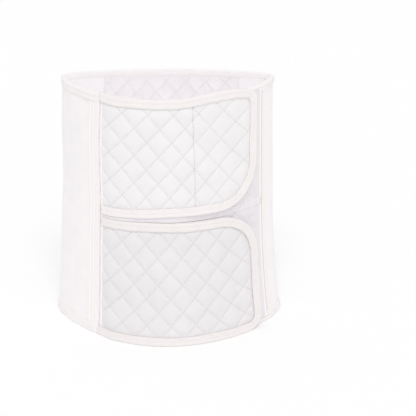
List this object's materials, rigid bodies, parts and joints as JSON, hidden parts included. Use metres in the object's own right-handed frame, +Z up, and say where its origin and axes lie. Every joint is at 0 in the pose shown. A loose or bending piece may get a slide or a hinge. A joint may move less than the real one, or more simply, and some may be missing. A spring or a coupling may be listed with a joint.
{
  "type": "abdominal binder",
  "caption": "Tall quilted wrap closed round the torso by rounded front flaps, with smooth elastic sides, boned strips and cream bound edges.",
  "frame": {"origin": "on the floor under the middle of the whole binder", "axes": "+Z up along the wearer's height, the flaps face -Y, +X to the free ends of the flaps"},
  "size_m": [0.2798, 0.1492, 0.3065],
  "materials": {
    "quilted_cotton": "matte quilted",
    "elastic_knit": "matte knit",
    "binding_tape": "soft matte",
    "hook_tape": "matte"
  },
  "bodies": {
    "root": {"back_panel": "quilted_cotton", "left_side_panel": "elastic_knit", "right_side_panel": "elastic_knit", "left_front_strip": "binding_tape", "right_front_strip": "binding_tape", "under_panel": "quilted_cotton", "upper_flap": "quilted_cotton", "lower_flap": "quilted_cotton", "upper_flap_binding": "binding_tape", "lower_flap_binding": "binding_tape", "top_rim_binding": "binding_tape", "bottom_rim_binding": "binding_tape", "upper_hook_patch": "hook_tape", "lower_hook_patch": "hook_tape"}
  },
  "joints": []
}
